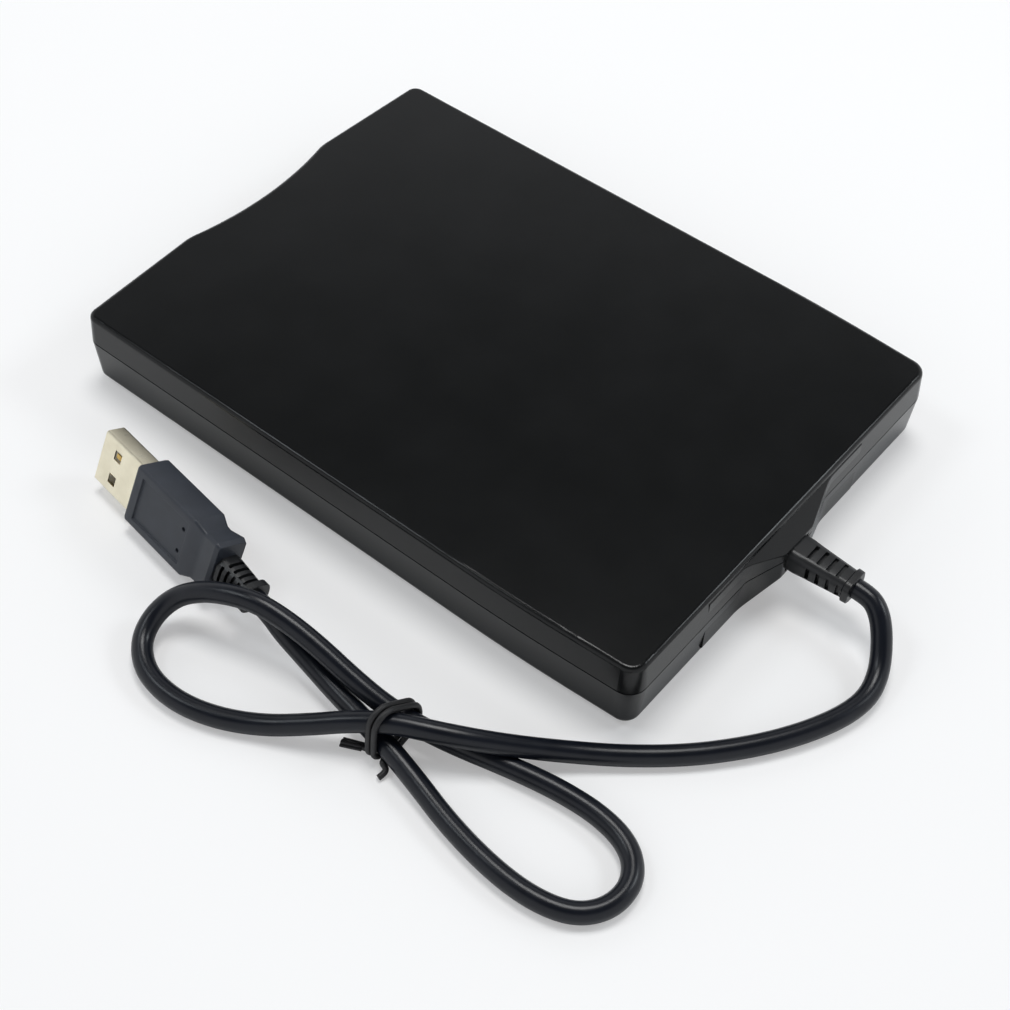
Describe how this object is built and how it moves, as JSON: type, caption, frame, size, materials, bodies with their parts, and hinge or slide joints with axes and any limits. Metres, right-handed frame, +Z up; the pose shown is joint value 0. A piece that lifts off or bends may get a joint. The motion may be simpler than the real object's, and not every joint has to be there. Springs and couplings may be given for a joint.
{
  "type": "external floppy disk drive",
  "caption": "Flat slot-loading disk drive with sprung dust door, eject button, spindle and stepping heads; fixed cord tied in two loops ends in a rectangular plug.",
  "frame": {"origin": "middle of the housing's footprint on the table, between the front bulge and the cable outlet", "axes": "+X along the disk slot to the side with the eject button, +Y from the slot to the cable outlet, +Z up"},
  "size_m": [0.1554, 0.1779, 0.0186],
  "materials": {
    "case_plastic": "black plastic with a fine satin texture",
    "front_plastic": "black satin plastic",
    "lamp_plastic": "clear green plastic light pipe",
    "foot_rubber": "black rubber",
    "label_film": "plain silver-grey film with nothing printed on it",
    "cord_plastic": "black flexible plastic with a soft gloss",
    "tie_plastic": "black plastic over wire",
    "plug_plastic": "dark blue-black moulded plastic, satin",
    "plug_metal": "pale nickel-plated sheet steel",
    "tongue_plastic": "off-white plastic",
    "contact_gold": "gold-plated contacts",
    "chassis_steel": "galvanised sheet steel",
    "screw_steel": "zinc-plated steel",
    "spring_steel": "bright spring wire",
    "bright_steel": "ground steel",
    "motor_metal": "plain motor can",
    "bearing_brass": "sintered bronze",
    "coil_copper": "enamelled copper windings",
    "board_green": "green circuit board",
    "chip_black": "black moulded packages, nothing printed",
    "crystal_metal": "drawn metal can",
    "connector_plastic": "off-white plastic",
    "wire_plastic": "insulated cores",
    "ribbon_film": "flat flexible cable",
    "flex_film": "amber flexible circuit",
    "carriage_plastic": "glass-filled plastic",
    "lever_steel": "stamped steel",
    "head_ceramic": "glazed ceramic head slider"
  },
  "bodies": {
    "drive": {"top_cover": "case_plastic", "bottom_cover": "case_plastic", "rubber_feet": "foot_rubber", "rating_label": "label_film", "case_screws": "screw_steel", "front_bezel": "front_plastic", "dust_door_spring": "spring_steel", "led_lens": "lamp_plastic", "led": "lamp_plastic", "drive_frame": "chassis_steel", "drive_cover": "chassis_steel", "drive_cover_screws": "screw_steel", "drive_mount_screws": "screw_steel", "eject_springs": "spring_steel", "latch_spring": "spring_steel", "motor_board": "board_green", "stator_coils": "coil_copper", "spindle_bearing": "bearing_brass", "stepper_motor": "motor_metal", "screw_bracket": "chassis_steel", "guide_rod": "bright_steel", "rod_clips": "chassis_steel", "track_zero_sensor": "chip_black", "disk_switches": "chip_black", "controller_board": "board_green", "controller_chips": "chip_black", "bridge_board": "board_green", "bridge_board_screws": "screw_steel", "bridge_chip": "chip_black", "crystal": "crystal_metal", "cable_header": "connector_plastic", "inner_wires": "wire_plastic", "board_ribbon": "ribbon_film", "ribbon_connectors": "connector_plastic", "head_flex": "flex_film", "cord_boot": "cord_plastic", "cord": "cord_plastic", "cord_tie": "tie_plastic", "plug_shell": "plug_metal", "plug_tongue": "tongue_plastic", "plug_contacts": "contact_gold", "plug_overmold": "plug_plastic", "plug_strain_relief": "cord_plastic"},
    "slider": {"eject_slider": "chassis_steel", "eject_button": "front_plastic"},
    "holder": {"disk_holder": "chassis_steel"},
    "door": {"dust_door": "front_plastic"},
    "lever": {"latch_lever": "lever_steel"},
    "spindle": {"spindle_rotor": "motor_metal", "spindle_hub": "bright_steel", "drive_pin": "bright_steel", "spindle_shaft": "bright_steel"},
    "carriage": {"head_carriage": "carriage_plastic", "screw_follower": "lever_steel", "lower_head": "head_ceramic", "arm_hinge_pin": "bright_steel"},
    "head_arm": {"upper_head_arm": "carriage_plastic", "upper_head": "head_ceramic"},
    "screw": {"lead_screw": "bright_steel"}
  },
  "joints": [
    {"name": "eject_slide", "type": "slide", "parent": "drive", "child": "slider", "axis": [0, -1, 0], "range_m": [0, 0.0055], "deforming": ["eject_springs"]},
    {"name": "holder_drop", "type": "slide", "parent": "drive", "child": "holder", "axis": [0, 0, -1], "range_m": [0, 0.0023]},
    {"name": "dust_door_swing", "type": "hinge", "parent": "drive", "child": "door", "pos_m": [0, -0.06975, 0.01445], "axis": [1, 0, 0], "range_deg": [0, 80], "stiffness_Nm_per_rad": 0.0002, "springref_deg": -11.46},
    {"name": "latch_lever_swing", "type": "hinge", "parent": "drive", "child": "lever", "pos_m": [-0.038, 0.03325, 0.0106], "axis": [0, 0, 1], "range_deg": [0, 42], "stiffness_Nm_per_rad": 0.0004, "springref_deg": -11.46},
    {"name": "spindle_turn", "type": "hinge", "parent": "drive", "child": "spindle", "pos_m": [0, -0.0197, 0.0074], "axis": [0, 0, 1], "continuous": true},
    {"name": "head_slide", "type": "slide", "parent": "drive", "child": "carriage", "axis": [0, -1, 0], "range_m": [0, 0.0148], "deforming": ["head_flex"]},
    {"name": "head_arm_drop", "type": "hinge", "parent": "carriage", "child": "head_arm", "pos_m": [0, 0.0453, 0.0104], "axis": [1, 0, 0], "range_deg": [0, 8.2]},
    {"name": "lead_screw_turn", "type": "hinge", "parent": "drive", "child": "screw", "pos_m": [0.013, 0.0444, 0.0076], "axis": [0, 1, 0], "range_deg": [0, 1778]}
  ],
  "couplings": [
    {"joint": "holder_drop", "follows": "eject_slide", "ratio": 0.41818},
    {"joint": "head_arm_drop", "follows": "eject_slide", "rad_per_m": 26.011},
    {"joint": "lead_screw_turn", "follows": "head_slide", "rad_per_m": 2094.4}
  ]
}
